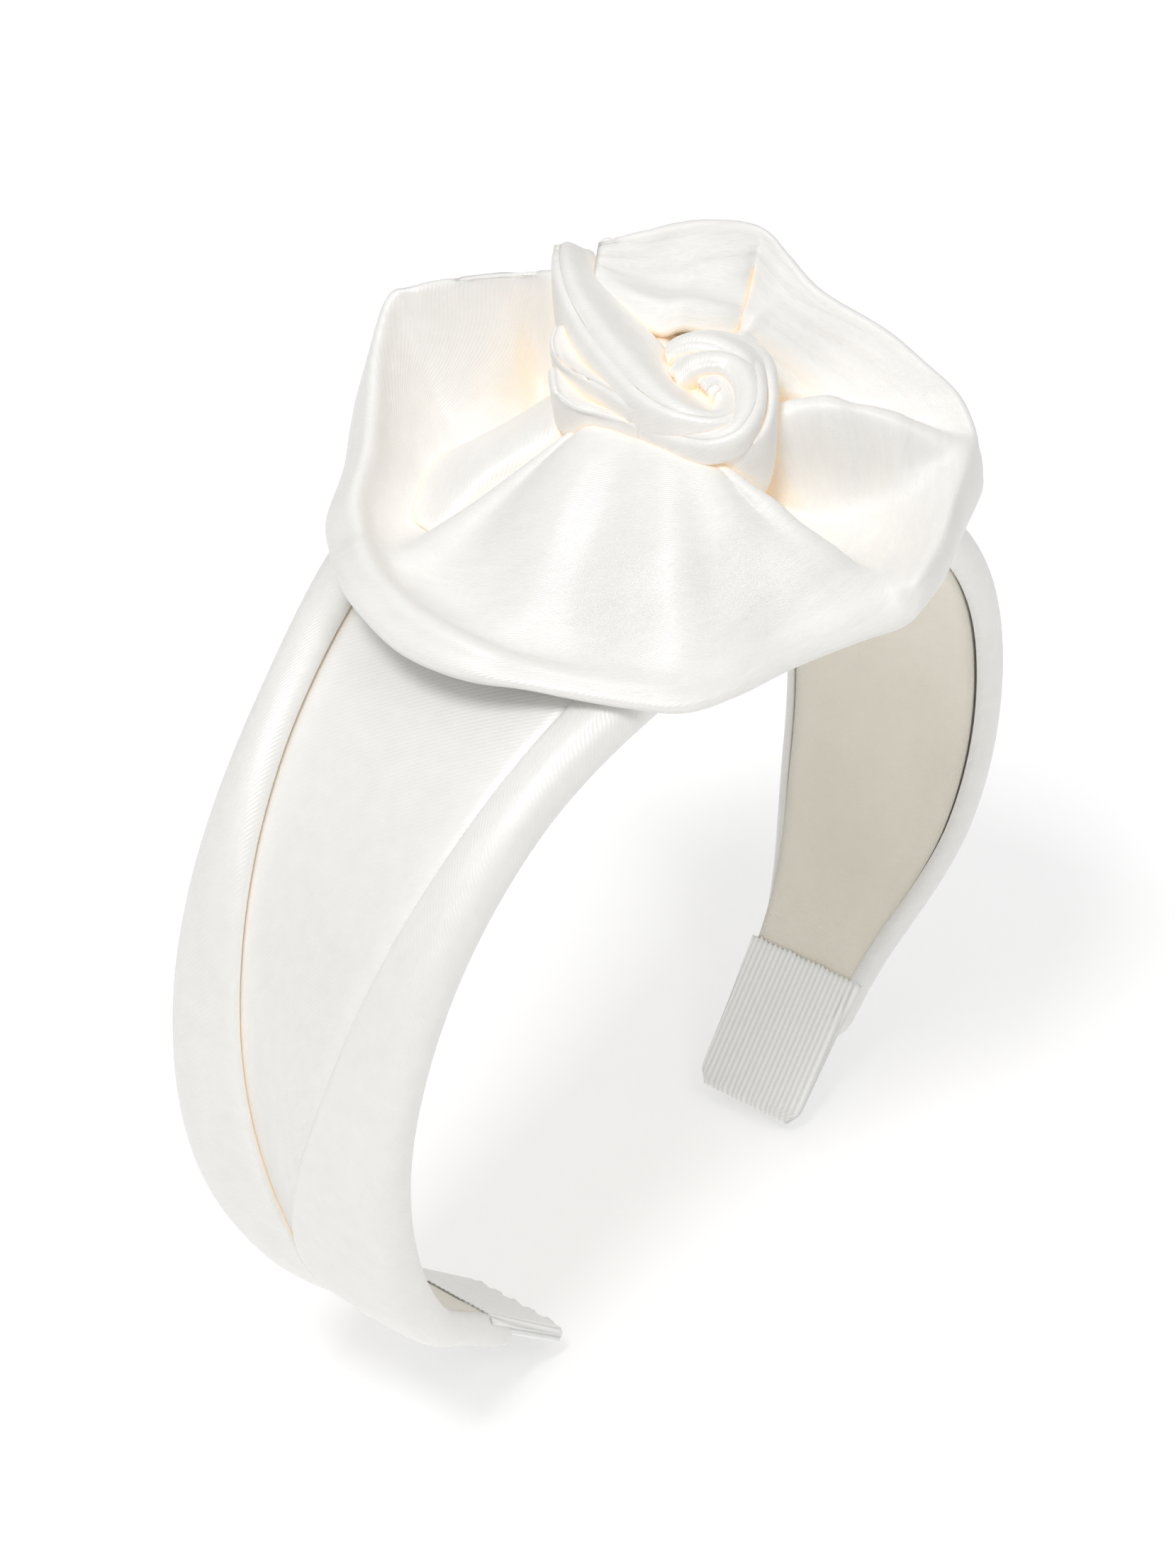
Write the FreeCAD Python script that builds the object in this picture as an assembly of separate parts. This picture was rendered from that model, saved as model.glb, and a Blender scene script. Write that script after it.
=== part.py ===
import FreeCAD, Part
import math
import os

# Padded satin headband with a folded fabric rosette. Millimetres, +Z up, +Y to the back of the head.
# The origin is the middle of the crown's inner face, where the band rests on the head.
# The band follows one line, its middle surface. A place on it is (s, y, h): s along the line from the
# crown, negative towards the left leg, y across the band, and h outwards from the middle surface.

# Driving dimensions of the middle line: a crown arc, a side arc, and a straight run to each tip.
CROWN_RADIUS = 70.0
CROWN_ANGLE = 46.0
SIDE_RADIUS = 56.0
SIDE_ANGLE = 88.0
TIP_RUN = 32.0
HALF_THICKNESS = 3.0

CROWN_LENGTH = CROWN_RADIUS * math.radians(CROWN_ANGLE)
SIDE_LENGTH = SIDE_RADIUS * math.radians(SIDE_ANGLE)
HALF_LENGTH = CROWN_LENGTH + SIDE_LENGTH + TIP_RUN

# Width of the band at stations from the crown to the tip.
WIDTHS = [(0.0, 58.0), (43.0, 45.0), (87.0, 38.0), (122.0, 32.2), (148.0, 20.4), (HALF_LENGTH, 17.6)]

# Stations along each half: where the crown and leg pieces meet, and where layers end near the tip.
FLEX_S = 70.0
PANEL_END_S = 114.0
REAR_ROLL_END_S = 128.0

# The edges where the rolls meet the centre panel, which is a long wedge that closes towards the tip.
# Past the rear roll's end the front roll widens over the whole outer face.
FRONT_ROLL_EDGE = [
    (0.0, -21.0), (40.0, -16.2), (80.0, -8.5), (114.0, 1.5), (128.0, 3.0), (146.0, 9.0), (HALF_LENGTH, 8.0)
]
REAR_ROLL_EDGE = [(0.0, 21.0), (40.0, 16.4), (80.0, 8.6), (114.0, 2.8), (128.0, 4.0)]
SLEEVE_START_S = 0.866 * HALF_LENGTH
CORE_END_S = HALF_LENGTH - 1.5
FRONT_ROLL_END_S = HALF_LENGTH - 6.0
STATION_STEP = 4.0
GAP = 0.1

# Layer heights across the band's thickness, from the middle surface.
LINING_BOTTOM = -HALF_THICKNESS
LINING_TOP = -2.5
CORE_BOTTOM = LINING_TOP + GAP
CORE_TOP = -1.25
PADDING_TOP = 1.2
PANEL_TOP = 1.8
ROLL_TOP = HALF_THICKNESS
ROLL_TOP_AT_TIP = 1.4
ROLL_BOTTOM = CORE_TOP + GAP
COVER_THICKNESS = 0.45

# Layer edges as fractions of the band's width.
LINING_HALF = 0.44
CORE_HALF = 0.46
ROLL_OUTER = 0.5

SLEEVE_THICKNESS = 0.6
SLEEVE_RETURN = 4.5

# Rosette: its axis stands a little to the right of the crown's middle and to the front, and the bud
# stands further to the front right. Right and front are +X and -Y.
ROSETTE_S = 6.0
ROSETTE_Y = -6.0
BUD_X = 5.7
BUD_Y = -8.0
ROSETTE_LIFT = HALF_THICKNESS + 0.1
BASE_RADIUS = 22.0
BASE_THICKNESS = 1.2
PAD_HALF = 11.0
PAD_DEPTH = 6.0
STITCH_RADIUS = 0.4
STITCH_RING = 15.0
STITCH_COUNT = 8

# Folded rosette pieces: start and end angle about the rosette's axis, thickness, and the line of
# (radius, height) points that the fold follows from its root to its rim.
PETALS = {
    "petal_left": (62, 150, 1.8, [(19, 2.6), (27, 3.2), (33, 7), (37, 16)]),
    "petal_left_inner": (62, 145, 1.4, [(10, 8.5), (17, 7.5), (25, 6.6)]),
    "petal_front": (152, 258, 1.8, [(9, 12.5), (16, 10), (24, 6.5), (31, 3.8), (36, 2.2)]),
    "petal_right": (271, 308, 1.8, [(18, 4.0), (23, 3.0), (30, 4.5), (36, 8)]),
    "petal_back": (310, 357, 1.8, [(17, 9.5), (23, 12), (30, 15), (35, 17)]),
    "top_loop": (0, 60, 1.8, [(17, 3), (20, 10), (24, 18), (28, 25)]),
    "inner_band": (58, 76, 1.6, [(7, 21), (14, 22), (21, 23)]),
    "fold_pair": (78, 104, 1.6, [(8, 17.5), (13, 18), (18, 18)]),
    "small_fold": (261, 269, 1.6, [(10.5, 12.5), (14, 9), (18, 7)]),
}
BUD_PROFILE = [(5.0, 1.5), (6.2, 7.0), (5.8, 14.0), (6.6, 19.0), (4.6, 21.5)]
BUD_TOP = 20.0


def middle_line(s):
    """The point (x, z) and the tangent's angle below horizontal, a distance s from the crown."""
    crown = min(s, CROWN_LENGTH)
    side = min(max(s - CROWN_LENGTH, 0.0), SIDE_LENGTH)
    run = max(s - CROWN_LENGTH - SIDE_LENGTH, 0.0)
    first = crown / CROWN_RADIUS
    last = first + side / SIDE_RADIUS
    x = CROWN_RADIUS * math.sin(first)
    x += SIDE_RADIUS * (math.sin(last) - math.sin(first))
    x += run * math.cos(last)
    z = HALF_THICKNESS + CROWN_RADIUS * (math.cos(first) - 1.0)
    z += SIDE_RADIUS * (math.cos(last) - math.cos(first))
    z -= run * math.sin(last)
    return x, z, last


def place(s, y, h):
    """The point of the row frame at (s, y, h)."""
    x, z, angle = middle_line(abs(s))
    side = -1.0 if s < 0 else 1.0
    return FreeCAD.Vector(side * (x + h * math.sin(angle)), y, z + h * math.cos(angle))


def blend(value, low, high):
    """0 below low, 1 above high, and a smooth step between."""
    t = min(max((value - low) / (high - low), 0.0), 1.0)
    return t * t * (3.0 - 2.0 * t)


def slope(knots, i):
    """The slope at knot i: flat at the first one, and along its neighbours elsewhere."""
    if i == 0:
        return 0.0
    s0, v0 = knots[i - 1]
    s1, v1 = knots[min(i + 1, len(knots) - 1)]
    return (v1 - v0) / (s1 - s0)


def through(knots, s):
    """The value at s of a smooth curve through (s, value) knots, the same on both legs."""
    at = min(abs(s), knots[-1][0])
    i = max(k for k in range(len(knots) - 1) if knots[k][0] <= at)
    (s0, v0), (s1, v1) = knots[i], knots[i + 1]
    t = (at - s0) / (s1 - s0)
    bend0 = (s1 - s0) * slope(knots, i) * t * (1 - t) ** 2
    bend1 = (s1 - s0) * slope(knots, i + 1) * t * t * (t - 1)
    return v0 + (v1 - v0) * blend(t, 0.0, 1.0) + bend0 + bend1


def width(s):
    return through(WIDTHS, s)


def roll_top(s):
    """The height of a roll's top, lower towards the tip."""
    return ROLL_TOP + (ROLL_TOP_AT_TIP - ROLL_TOP) * blend(abs(s), PANEL_END_S, FRONT_ROLL_END_S)


def stations(start, end):
    """Evenly spaced stations from start to end, both included."""
    count = max(2, round(abs(end - start) / STATION_STEP))
    return [start + (end - start) * i / count for i in range(count + 1)]


def flat_layer(start, end, edges, bottom, top):
    """A layer of rectangular section. edges(s) gives its front and rear y."""
    wires = []
    for s in stations(start, end):
        front, rear = edges(s)
        corners = [(front, bottom), (rear, bottom), (rear, top), (front, top), (front, bottom)]
        wires.append(Part.makePolygon([place(s, y, h) for y, h in corners]))
    return Part.makeLoft(wires, True)


def oval_loft(start, end, edges, inset):
    """A roll of oval section. edges(s) gives its front and rear y, and inset shrinks it all round."""
    wires = []
    for s in stations(start, end):
        front, rear = edges(s)
        y = (front + rear) / 2
        h = (ROLL_BOTTOM + roll_top(s)) / 2
        across = (rear - front) / 2 - inset
        up = (roll_top(s) - ROLL_BOTTOM) / 2 - inset
        oval = Part.Ellipse(place(s, y + across, h), place(s, y, h + up), place(s, y, h))
        wires.append(Part.Wire(oval.toShape()))
    return Part.makeLoft(wires, True)


def lining_edges(s):
    return -LINING_HALF * width(s), LINING_HALF * width(s)


def core_edges(s):
    return -CORE_HALF * width(s), CORE_HALF * width(s)


def padding_edges(s):
    return through(FRONT_ROLL_EDGE, s) + GAP, through(REAR_ROLL_EDGE, s) - GAP


def front_roll_edges(s):
    return -ROLL_OUTER * width(s), through(FRONT_ROLL_EDGE, s)


def rear_roll_edges(s):
    return through(REAR_ROLL_EDGE, s), ROLL_OUTER * width(s)


def roll_pieces(start, end, edges):
    """A satin roll and the filler inside it."""
    filler = oval_loft(start, end, edges, COVER_THICKNESS)
    cover = oval_loft(start, end, edges, 0.0).cut(filler)
    return cover, filler


def band_segment(name, limits):
    """The layers of one stretch of the band. limits gives each layer's two ends."""
    cut = limits["cut"]
    pieces = {}
    pieces["core"] = flat_layer(cut, limits["core"], core_edges, CORE_BOTTOM, CORE_TOP)
    pieces["lining"] = flat_layer(cut, limits["lining"], lining_edges, LINING_BOTTOM, LINING_TOP)
    pieces["padding"] = flat_layer(cut, limits["panel"], padding_edges, CORE_TOP + GAP, PADDING_TOP)
    pieces["centre_panel"] = flat_layer(cut, limits["panel"], padding_edges, PADDING_TOP + GAP, PANEL_TOP)
    pieces["front_roll"], pieces["front_filler"] = roll_pieces(cut, limits["front"], front_roll_edges)
    pieces["rear_roll"], pieces["rear_filler"] = roll_pieces(cut, limits["rear"], rear_roll_edges)
    return {name + "_" + layer: shape for layer, shape in pieces.items()}


def crown_limits():
    return {key: FLEX_S for key in ("core", "lining", "panel", "front", "rear")} | {"cut": -FLEX_S}


def leg_limits(side):
    ends = {
        "cut": FLEX_S,
        "core": CORE_END_S,
        "lining": SLEEVE_START_S - 2 * GAP,
        "panel": PANEL_END_S,
        "front": FRONT_ROLL_END_S,
        "rear": REAR_ROLL_END_S,
    }
    return {key: side * value for key, value in ends.items()}


def tip_sleeve(side):
    """The ribbed ribbon at a tip: an inner face, an end cap and a short return over the outer face."""
    start = side * SLEEVE_START_S
    cap_start = side * (CORE_END_S + GAP)
    end = side * HALF_LENGTH
    back = side * (HALF_LENGTH - SLEEVE_RETURN)
    inner_top = CORE_BOTTOM - GAP
    inner = flat_layer(start, end, sleeve_edges, inner_top - SLEEVE_THICKNESS, inner_top)
    cap = flat_layer(cap_start, end, sleeve_edges, inner_top - SLEEVE_THICKNESS, CORE_TOP + GAP)
    outer_top = CORE_TOP + GAP + SLEEVE_THICKNESS
    outer = flat_layer(back, end, sleeve_edges, CORE_TOP + GAP, outer_top)
    return inner.fuse([cap, outer]).removeSplitter()


def sleeve_edges(s):
    return -ROLL_OUTER * width(s), ROLL_OUTER * width(s)


def to_rosette(shape):
    """Moves a shape from the rosette's own frame, +Z along its axis, to its place on the crown."""
    seat = place(ROSETTE_S, ROSETTE_Y, ROSETTE_LIFT)
    tilt = FreeCAD.Rotation(FreeCAD.Vector(0, 1, 0), math.degrees(ROSETTE_S / CROWN_RADIUS))
    moved = shape.copy()
    moved.Placement = FreeCAD.Placement(seat, tilt).multiply(shape.Placement)
    return moved


def offset_points(points, distance):
    """The points moved sideways by distance, square to the line through their neighbours."""
    moved = []
    for i, (r, h) in enumerate(points):
        r0, h0 = points[max(i - 1, 0)]
        r1, h1 = points[min(i + 1, len(points) - 1)]
        length = math.hypot(r1 - r0, h1 - h0)
        moved.append((r - distance * (h1 - h0) / length, h + distance * (r1 - r0) / length))
    return moved


def spline_edge(points):
    curve = Part.BSplineCurve()
    curve.interpolate([FreeCAD.Vector(r, 0, h) for r, h in points])
    return curve.toShape()


def straight_edge(start, end):
    """A straight edge between two (radius, height) points."""
    return Part.makeLine(FreeCAD.Vector(start[0], 0, start[1]), FreeCAD.Vector(end[0], 0, end[1]))


def fold(start, end, thickness, points):
    """A folded strip: a thick line of the (radius, height) plane, turned about the rosette's axis."""
    lower = offset_points(points, -thickness / 2)
    upper = offset_points(points, thickness / 2)
    first = straight_edge(lower[0], upper[0])
    last = straight_edge(lower[-1], upper[-1])
    outline = Part.Wire(Part.__sortEdges__([spline_edge(lower), first, spline_edge(upper), last]))
    axis = FreeCAD.Vector(0, 0, 1)
    swept = Part.Face(outline).revolve(FreeCAD.Vector(0, 0, 0), axis, end - start)
    swept.rotate(FreeCAD.Vector(0, 0, 0), axis, start)
    return swept


def bud():
    """The closed bud in the middle, with a dip in its top."""
    bottom = BUD_PROFILE[0]
    rim = BUD_PROFILE[-1]
    wall = spline_edge(BUD_PROFILE)
    base = straight_edge((0, bottom[1]), bottom)
    top = straight_edge(rim, (0, BUD_TOP))
    middle = straight_edge((0, BUD_TOP), (0, bottom[1]))
    outline = Part.Wire([base, wall, top, middle])
    return Part.Face(outline).revolve(FreeCAD.Vector(0, 0, 0), FreeCAD.Vector(0, 0, 1), 360)


def stitches():
    """Thread stitches through the base disc, in a ring."""
    solids = []
    for i in range(STITCH_COUNT):
        angle = 2 * math.pi * i / STITCH_COUNT
        foot = FreeCAD.Vector(STITCH_RING * math.cos(angle), STITCH_RING * math.sin(angle), 0)
        solids.append(Part.makeCylinder(STITCH_RADIUS, BASE_THICKNESS, foot))
    return Part.makeCompound(solids)


def base_disc():
    return Part.makeCylinder(BASE_RADIUS, BASE_THICKNESS).cut(stitches())


def glue_pad():
    """The pad of glue between the crown's centre panel and the base disc, curved underneath."""
    corner = FreeCAD.Vector(-PAD_HALF, -PAD_HALF, -PAD_DEPTH)
    block = to_rosette(Part.makeBox(2 * PAD_HALF, 2 * PAD_HALF, PAD_DEPTH, corner))
    arc_centre = FreeCAD.Vector(0, -CROWN_RADIUS, HALF_THICKNESS - CROWN_RADIUS)
    crown = Part.makeCylinder(
        CROWN_RADIUS + PANEL_TOP + GAP, 2 * CROWN_RADIUS, arc_centre, FreeCAD.Vector(0, 1, 0)
    )
    return block.cut(crown)


def to_bud(shape):
    """Moves a shape from the bud's own axis to its place in the rosette."""
    moved = shape.copy()
    stand = FreeCAD.Placement(FreeCAD.Vector(BUD_X, BUD_Y, 0), FreeCAD.Rotation())
    moved.Placement = stand.multiply(shape.Placement)
    return to_rosette(moved)


def rosette():
    """Every piece of the rosette, in its place."""
    pieces = {name: to_rosette(fold(*values)) for name, values in PETALS.items()}
    pieces["bud"] = to_bud(bud())
    pieces["rosette_base"] = to_rosette(base_disc())
    pieces["rosette_stitches"] = to_rosette(stitches())
    pieces["glue_pad"] = glue_pad()
    return pieces


def headband():
    pieces = band_segment("crown", crown_limits())
    for name, side in (("left", -1.0), ("right", 1.0)):
        pieces.update(band_segment(name + "_leg", leg_limits(side)))
        pieces["tip_sleeve_" + name] = tip_sleeve(side)
    pieces.update(rosette())
    return pieces


os.makedirs("parts", exist_ok=True)
for node, shape in headband().items():
    print(node, round(shape.Volume), "mm3", "valid" if shape.isValid() else "NOT VALID", len(shape.Solids))
    shape.exportStep("parts/" + node + ".step")
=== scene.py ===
import math

import bpy
import numpy as np
from mathutils import Matrix, Vector, noise
from mathutils.bvhtree import BVHTree


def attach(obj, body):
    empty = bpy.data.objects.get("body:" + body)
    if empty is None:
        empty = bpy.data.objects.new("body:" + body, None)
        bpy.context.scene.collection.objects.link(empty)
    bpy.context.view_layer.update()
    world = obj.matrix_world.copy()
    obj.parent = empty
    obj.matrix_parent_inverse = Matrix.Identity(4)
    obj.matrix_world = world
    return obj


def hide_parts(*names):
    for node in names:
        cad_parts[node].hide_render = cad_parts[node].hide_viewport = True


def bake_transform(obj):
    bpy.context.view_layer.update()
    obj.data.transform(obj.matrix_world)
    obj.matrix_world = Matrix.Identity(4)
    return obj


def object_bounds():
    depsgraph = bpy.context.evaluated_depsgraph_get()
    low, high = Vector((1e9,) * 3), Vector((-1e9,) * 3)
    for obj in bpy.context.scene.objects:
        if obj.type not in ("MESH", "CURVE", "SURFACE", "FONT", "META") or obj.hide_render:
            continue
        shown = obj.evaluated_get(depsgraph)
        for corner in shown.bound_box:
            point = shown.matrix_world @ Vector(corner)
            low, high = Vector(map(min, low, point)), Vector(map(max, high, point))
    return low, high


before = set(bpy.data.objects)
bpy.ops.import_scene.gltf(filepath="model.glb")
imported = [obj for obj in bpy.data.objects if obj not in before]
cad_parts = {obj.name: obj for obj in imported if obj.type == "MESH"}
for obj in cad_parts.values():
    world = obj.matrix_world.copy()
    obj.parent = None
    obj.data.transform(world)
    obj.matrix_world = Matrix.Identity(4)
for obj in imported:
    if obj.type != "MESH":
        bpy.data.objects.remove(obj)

cad_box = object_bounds()

# Lengths in this script are in millimetres until a mesh is made. Blender's own are metres.
MM = 0.001

# ---------------- the band's driving dimensions
CROWN_RADIUS = 70.0
CROWN_ANGLE = math.radians(46.0)
SIDE_RADIUS = 56.0
SIDE_ANGLE = math.radians(88.0)
TIP_RUN = 32.0
HALF_THICKNESS = 3.0
CROWN_LENGTH = CROWN_RADIUS * CROWN_ANGLE
SIDE_LENGTH = SIDE_RADIUS * SIDE_ANGLE
HALF_LENGTH = CROWN_LENGTH + SIDE_LENGTH + TIP_RUN

# Knots (distance from the crown, value): the whole width, and where each roll meets the panel.
WIDTHS = [(0.0, 58.0), (43.0, 45.0), (87.0, 38.0), (122.0, 32.2), (148.0, 20.4), (HALF_LENGTH, 17.6)]
FRONT_ROLL_EDGE = [
    (0.0, -21.0), (40.0, -16.2), (80.0, -8.5), (114.0, 1.5), (128.0, 3.0), (146.0, 9.0), (HALF_LENGTH, 8.0),
]
REAR_ROLL_EDGE = [(0.0, 21.0), (40.0, 16.4), (80.0, 8.6), (114.0, 2.8), (128.0, 4.0)]
# How far from the crown each layer ends, and how long each roll takes to close.
PANEL_END = 119.0
PADDING_END = PANEL_END - 2.0
REAR_ROLL_END = 151.0
REAR_ROLL_TAPER = 22.0
FRONT_ROLL_END = HALF_LENGTH - 13.0
FRONT_ROLL_TAPER = 5.0
SLEEVE_START = 0.866 * HALF_LENGTH
LINING_END = SLEEVE_START + 1.0
CORE_END = HALF_LENGTH - 1.5
# The stretch of each leg where it would bend; bend_with_leg finds its ends but bends nothing.
BEND_START = 50.0
BEND_END = 112.0
# Heights of the flat layers from the band's middle surface.
LINING_HEIGHTS = (-3.0, -2.5)
CORE_HEIGHTS = (-2.4, -1.3)
PADDING_FRONT_HEIGHTS = (-1.1, 1.2)
PADDING_REAR_HEIGHTS = (-1.1, 0.0)
PADDING_CROWN = 0.1
PANEL_FRONT_HEIGHTS = (1.3, 2.0)
PANEL_REAR_HEIGHTS = (-0.1, 0.5)
ROLL_TOP = 3.1
# How much lower each roll is at its end, and its closing section there.
FRONT_ROLL_THINNING = 0.45
REAR_ROLL_THINNING = 0.55
ROLL_END_WIDTH = 0.35
ROLL_END_LEAST = 0.0025
# Half the width of the lining and the core, as a share of the band's width.
LINING_SHARE = 0.44
CORE_SHARE = 0.45
CORE_INSET = 1.0
# How finely the band's layers are meshed.
BAND_STEP = 1.6
ROLL_POINTS = 56
WIDE_COLUMNS = 14
NARROW_COLUMNS = 8


def middle_line(s):
    """The point (x, z) and the tangent's angle below horizontal, a distance s from the crown."""
    crown = min(s, CROWN_LENGTH)
    side = min(max(s - CROWN_LENGTH, 0.0), SIDE_LENGTH)
    run = max(s - CROWN_LENGTH - SIDE_LENGTH, 0.0)
    first = crown / CROWN_RADIUS
    last = first + side / SIDE_RADIUS
    x = CROWN_RADIUS * math.sin(first) + SIDE_RADIUS * (math.sin(last) - math.sin(first))
    z = HALF_THICKNESS + CROWN_RADIUS * (math.cos(first) - 1.0)
    z += SIDE_RADIUS * (math.cos(last) - math.cos(first))
    return x + run * math.cos(last), z - run * math.sin(last), last


def place(side, s, y, h):
    """The point at s along one leg, y across the band and h out from its middle surface."""
    x, z, angle = middle_line(s)
    return (side * (x + h * math.sin(angle)), y, z + h * math.cos(angle))


def ease(value, low, high):
    """0 below low, 1 above high, and a smooth step between."""
    t = min(max((value - low) / (high - low), 0.0), 1.0)
    return t * t * (3.0 - 2.0 * t)


def slope(knots, i):
    if i == 0:
        return 0.0
    s0, v0 = knots[i - 1]
    s1, v1 = knots[min(i + 1, len(knots) - 1)]
    return (v1 - v0) / (s1 - s0)


def through(knots, s):
    """The value at s of a smooth curve through (s, value) knots."""
    at = min(max(s, knots[0][0]), knots[-1][0])
    i = max(k for k in range(len(knots) - 1) if knots[k][0] <= at)
    (s0, v0), (s1, v1) = knots[i], knots[i + 1]
    t = (at - s0) / (s1 - s0)
    bend0 = (s1 - s0) * slope(knots, i) * t * (1 - t) ** 2
    bend1 = (s1 - s0) * slope(knots, i + 1) * t * t * (t - 1)
    return v0 + (v1 - v0) * ease(t, 0.0, 1.0) + bend0 + bend1


def width(s):
    return through(WIDTHS, s)


# ---------------- camera, light and floor
CAMERA_AZIMUTH = math.radians(-48.4)
CAMERA_ELEVATION = math.radians(38.7)
CAMERA_ROLL = math.radians(-4.2)
CAMERA_DISTANCE = 0.600
CAMERA_AIM = Vector((0.00595, 0.00839, -0.0465))
CAMERA_LENS = 99.9
CAMERA_SENSOR = 36.0
CAMERA_NEAREST = 0.01


def make_camera():
    back = Vector((
        math.sin(CAMERA_AZIMUTH) * math.cos(CAMERA_ELEVATION),
        -math.cos(CAMERA_AZIMUTH) * math.cos(CAMERA_ELEVATION),
        math.sin(CAMERA_ELEVATION),
    ))
    right = Vector((math.cos(CAMERA_AZIMUTH), math.sin(CAMERA_AZIMUTH), 0.0))
    up = back.cross(right)
    rolled_right = math.cos(CAMERA_ROLL) * right + math.sin(CAMERA_ROLL) * up
    rolled_up = back.cross(rolled_right)
    data = bpy.data.cameras.new("camera")
    data.lens = CAMERA_LENS
    data.sensor_width = CAMERA_SENSOR
    data.clip_start = CAMERA_NEAREST
    camera = bpy.data.objects.new("camera", data)
    bpy.context.scene.collection.objects.link(camera)
    turned = Matrix((rolled_right, rolled_up, back)).transposed().to_4x4()
    camera.matrix_world = Matrix.Translation(CAMERA_AIM + CAMERA_DISTANCE * back) @ turned
    bpy.context.scene.camera = camera


def area_light(name, azimuth, elevation, distance, size, power):
    """A square soft white light that points at the middle of the band."""
    a, e = math.radians(azimuth), math.radians(elevation)
    back = Vector((math.sin(a) * math.cos(e), -math.cos(a) * math.cos(e), math.sin(e)))
    data = bpy.data.lights.new(name, "AREA")
    data.size = size
    data.energy = power
    light = bpy.data.objects.new(name, data)
    bpy.context.scene.collection.objects.link(light)
    light.location = CAMERA_AIM + back * distance
    light.rotation_mode = "QUATERNION"
    light.rotation_quaternion = (-back).to_track_quat("-Z", "Y")


KEY_LIGHT = {"azimuth": -75.0, "elevation": 62.0, "distance": 0.9, "size": 0.22, "power": 3.2}
FRONT_LIGHT = {"azimuth": -10.0, "elevation": 50.0, "distance": 1.0, "size": 0.20, "power": 0.5}
WORLD_HORIZON = 0.28
WORLD_ZENITH = 0.90
FLOOR_REACH = 3.0
FLOOR_DROP = 0.002
WHITE = (1.0, 1.0, 1.0, 1.0)
FLOOR_FINISH = {
    "Base Color": (0.97, 0.97, 0.97, 1.0), "Roughness": 0.9,
    "Emission Color": WHITE, "Emission Strength": 0.18,
}


def set_sockets(node, values):
    for name, value in values.items():
        node.inputs[name].default_value = value


def make_world():
    """Soft white studio light, about three times as strong from above as from the sides."""
    world = bpy.data.worlds.new("studio")
    bpy.context.scene.world = world
    world.use_nodes = True
    nodes, links = world.node_tree.nodes, world.node_tree.links
    background = nodes["Background"]
    background.inputs["Color"].default_value = WHITE
    direction = nodes.new("ShaderNodeTexCoord")
    split = nodes.new("ShaderNodeSeparateXYZ")
    strength = nodes.new("ShaderNodeMapRange")
    set_sockets(strength, {"To Min": WORLD_HORIZON, "To Max": WORLD_ZENITH})
    links.new(direction.outputs["Generated"], split.inputs["Vector"])
    links.new(split.outputs["Z"], strength.inputs["Value"])
    links.new(strength.outputs["Result"], background.inputs["Strength"])


def make_floor():
    """A pale paper floor that glows a little, so that the far part of it stays white."""
    data = bpy.data.meshes.new("floor")
    reach = FLOOR_REACH
    low = cad_box[0].z - FLOOR_DROP
    corners = [(-reach, -reach, low), (reach, -reach, low), (reach, reach, low), (-reach, reach, low)]
    data.from_pydata(corners, [], [(0, 1, 2, 3)])
    floor = bpy.data.objects.new("floor", data)
    bpy.context.scene.collection.objects.link(floor)
    material = bpy.data.materials.new("floor_paper")
    material.use_nodes = True
    shader = material.node_tree.nodes["Principled BSDF"]
    set_sockets(shader, FLOOR_FINISH)
    data.materials.append(material)


def make_stage():
    make_world()
    make_floor()
    area_light("key_light", **KEY_LIGHT)
    area_light("front_light", **FRONT_LIGHT)
    bpy.context.scene.view_settings.view_transform = "Standard"


# ---------------- materials
def new_material(name):
    material = bpy.data.materials.new(name)
    material.use_nodes = True
    nodes = material.node_tree.nodes
    return material, nodes, material.node_tree.links, nodes["Principled BSDF"]


def math_node(nodes, links, kind, first, second):
    node = nodes.new("ShaderNodeMath")
    node.operation = kind
    for socket, value in zip(node.inputs, (first, second)):
        if isinstance(value, (int, float)):
            socket.default_value = value
        else:
            links.new(value, socket)
    return node.outputs[0]


def fabric_coordinates(nodes, links, scale=(1.0, 1.0)):
    """The cloth's own millimetres: U along the piece and V across it, times a scale for each."""
    uv = nodes.new("ShaderNodeUVMap")
    uv.uv_map = "cloth"
    mapping = nodes.new("ShaderNodeMapping")
    mapping.inputs["Scale"].default_value = (*scale, 1.0)
    links.new(uv.outputs["UV"], mapping.inputs["Vector"])
    return mapping.outputs["Vector"]


def noise_texture(nodes, links, vector, scale, detail):
    node = nodes.new("ShaderNodeTexNoise")
    set_sockets(node, {"Scale": scale, "Detail": detail})
    links.new(vector, node.inputs["Vector"])
    return node.outputs["Fac"]


def wave_texture(nodes, links, vector, scale, direction):
    node = nodes.new("ShaderNodeTexWave")
    node.wave_type = "BANDS"
    node.bands_direction = direction
    set_sockets(node, {"Scale": scale, "Distortion": 0.6, "Detail": 1.0})
    links.new(vector, node.inputs["Vector"])
    return node.outputs["Fac"]


def bump(nodes, links, height, strength, distance, below=None):
    """Relief from a height, on top of the relief below. The distance is in metres."""
    node = nodes.new("ShaderNodeBump")
    set_sockets(node, {"Strength": strength, "Distance": distance})
    links.new(height, node.inputs["Height"])
    if below is not None:
        links.new(below, node.inputs["Normal"])
    return node.outputs["Normal"]


def ramp(nodes, links, factor, stops):
    node = nodes.new("ShaderNodeValToRGB")
    elements = node.color_ramp.elements
    while len(elements) < len(stops):
        elements.new(0.5)
    for element, (position, color) in zip(elements, stops):
        element.position = position
        element.color = (*color, 1.0)
    links.new(factor, node.inputs["Fac"])
    return node.outputs["Color"]


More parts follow.
